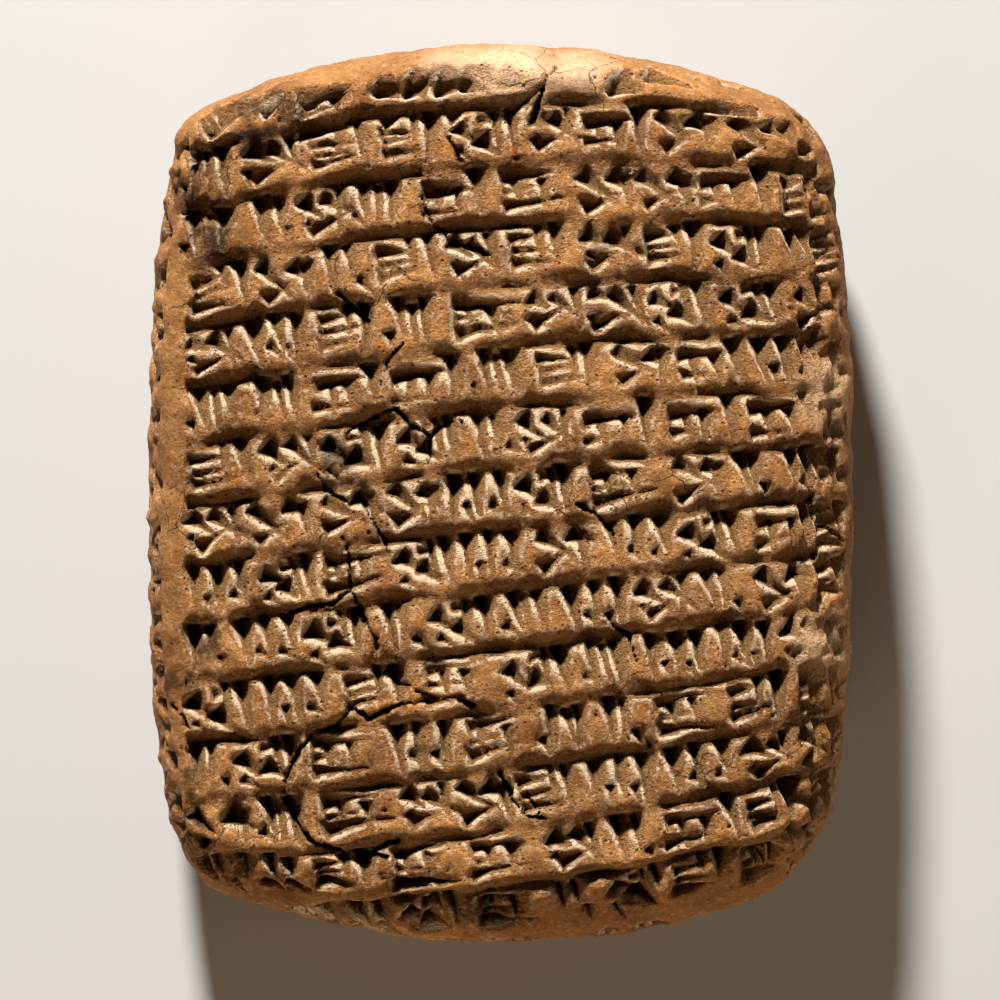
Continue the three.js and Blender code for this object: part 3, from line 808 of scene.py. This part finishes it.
# Painted shade: the cracks are darkened almost to black.
base = blend(finish.calc("MULTIPLY", marked("cracked"), 0.9), base, SOOT_AND_CRACK_SHADE)
finish.wire(base, shader.inputs["Base Color"])
finish.wire(finish.ramp(speckle, 0.3, 0.7, ROUGHEST, SMOOTHEST), shader.inputs["Roughness"])
finish.wire(SPECULAR_LEVEL, shader.inputs["Specular IOR Level"])
bump = finish.node(
    "ShaderNodeBump",
    {
        "Strength": finish.ramp(depth, BUMP_STARTS, BUMP_IS_FULL, 0.35, 1.0),
        "Distance": BUMP_DEPTH,
        "Height": finish.calc("MULTIPLY_ADD", pinholes, -0.5, crumb),
    },
)["Normal"]
finish.wire(bump, shader.inputs["Normal"])

slab_skin, slab_squares = slab_net(NET_FOR_CARVING)
slab = mesh_object("slab", slab_skin.tolist(), slab_squares)
mark(slab, "worn", "FLOAT", patches(slab_skin, WORN_PLACES))
mark(slab, "sooty", "FLOAT", patches(slab_skin, SOOT_PLACES))
press_step = slab.modifiers.new("pressing", "NODES")
press_step.node_group = pressing.tree
used = {"Strokes": strokes, "Reed Corner": reed, "Rulings": rulings, "Cracks": cracks, "Clay": clay}
for item in pressing.tree.interface.items_tree:
    if item.in_out == "INPUT" and item.name in used:
        press_step[item.identifier] = used[item.name]
MOST_TRIANGLES = 195000
thinning = slab.modifiers.new("thinning", "DECIMATE")
thinning.ratio = MOST_TRIANGLES / (2 * len(slab_squares))
thinned = bpy.data.meshes.new_from_object(slab.evaluated_get(bpy.context.evaluated_depsgraph_get()))
thinned_points = np.empty(3 * len(thinned.vertices))
thinned.vertices.foreach_get("co", thinned_points)
pressed_points = np.clip(thinned_points.reshape(-1, 3), SLAB_LOW, SLAB_HIGH)
thinned.vertices.foreach_set("co", pressed_points.ravel())
tablet = bpy.data.objects.new("written_tablet", thinned)
bpy.context.scene.collection.objects.link(tablet)
for helper in (slab, strokes, reed, rulings, cracks):
    bpy.data.objects.remove(helper)
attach(tablet, "root")
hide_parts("tablet")


# The studio: a pale painted floor, one soft lamp over the head of the tablet, two faint warm ones low on its
# right and below its foot, and a camera straight above.
REACH = 2
floor = mesh_object(
    "floor", [(-REACH, -REACH, 0), (REACH, -REACH, 0), (REACH, REACH, 0), (-REACH, REACH, 0)], [(0, 1, 2, 3)]
)
floor_paint = bpy.data.materials.new("floor paint")
floor_paint.use_nodes = True
floor_shader = floor_paint.node_tree.nodes["Principled BSDF"]
floor_shader.inputs["Base Color"].default_value = colour(178, 176, 172)
floor_shader.inputs["Roughness"].default_value = 0.9
floor.data.materials.append(floor_paint)

MIDDLE_OF_FRONT = Vector((0, 0, SLAB_HIGH[2]))
WHITE, WARM = (1, 1, 1), (1, 0.78, 0.56)


def soft_lamp(name, away, size, power, tint):
    """A round lamp, so far away from the middle of the front, that shines at it."""
    light = bpy.data.lights.new(name, "AREA")
    light.color = tint
    light.shape = "DISK"
    light.size = size
    light.energy = power
    lamp = bpy.data.objects.new(name, light)
    lamp.location = MIDDLE_OF_FRONT + Vector(away)
    lamp.rotation_euler = (MIDDLE_OF_FRONT - lamp.location).to_track_quat("-Z", "Y").to_euler()
    bpy.context.scene.collection.objects.link(lamp)


soft_lamp("key lamp", (-0.2, 1.0, 0.48), size=0.15, power=44, tint=WHITE)
soft_lamp("right lamp", (0.7, -0.1, 0.15), size=0.3, power=1.4, tint=WARM)
soft_lamp("lower lamp", (-0.25, -0.7, 0.12), size=0.4, power=3.6, tint=WARM)
world = bpy.data.worlds.new("studio air")
world.use_nodes = True
studio_air = world.node_tree.nodes["Background"]
studio_air.inputs["Color"].default_value = (*WARM, 1)
studio_air.inputs["Strength"].default_value = 0.015
bpy.context.scene.world = world

PIXELS_PER_MM = 8.49
IMAGE_SIZE_PX = 1000
TABLET_MIDDLE_PX = (500, 495)
SENSOR, LENS = 36, 250
VIEW_REACH = 10
widest_height = HALF[2]
view_width = IMAGE_SIZE_PX / PIXELS_PER_MM * mm
aim_y = -(IMAGE_SIZE_PX / 2 - TABLET_MIDDLE_PX[1]) / PIXELS_PER_MM * mm
camera = bpy.data.objects.new("camera", bpy.data.cameras.new("camera"))
camera.data.sensor_width = SENSOR
camera.data.lens = LENS
camera.data.clip_end = VIEW_REACH
camera.location = (0, aim_y, widest_height + view_width * LENS / SENSOR)
bpy.context.scene.collection.objects.link(camera)
bpy.context.scene.camera = camera
bpy.context.scene.view_settings.view_transform = "Standard"
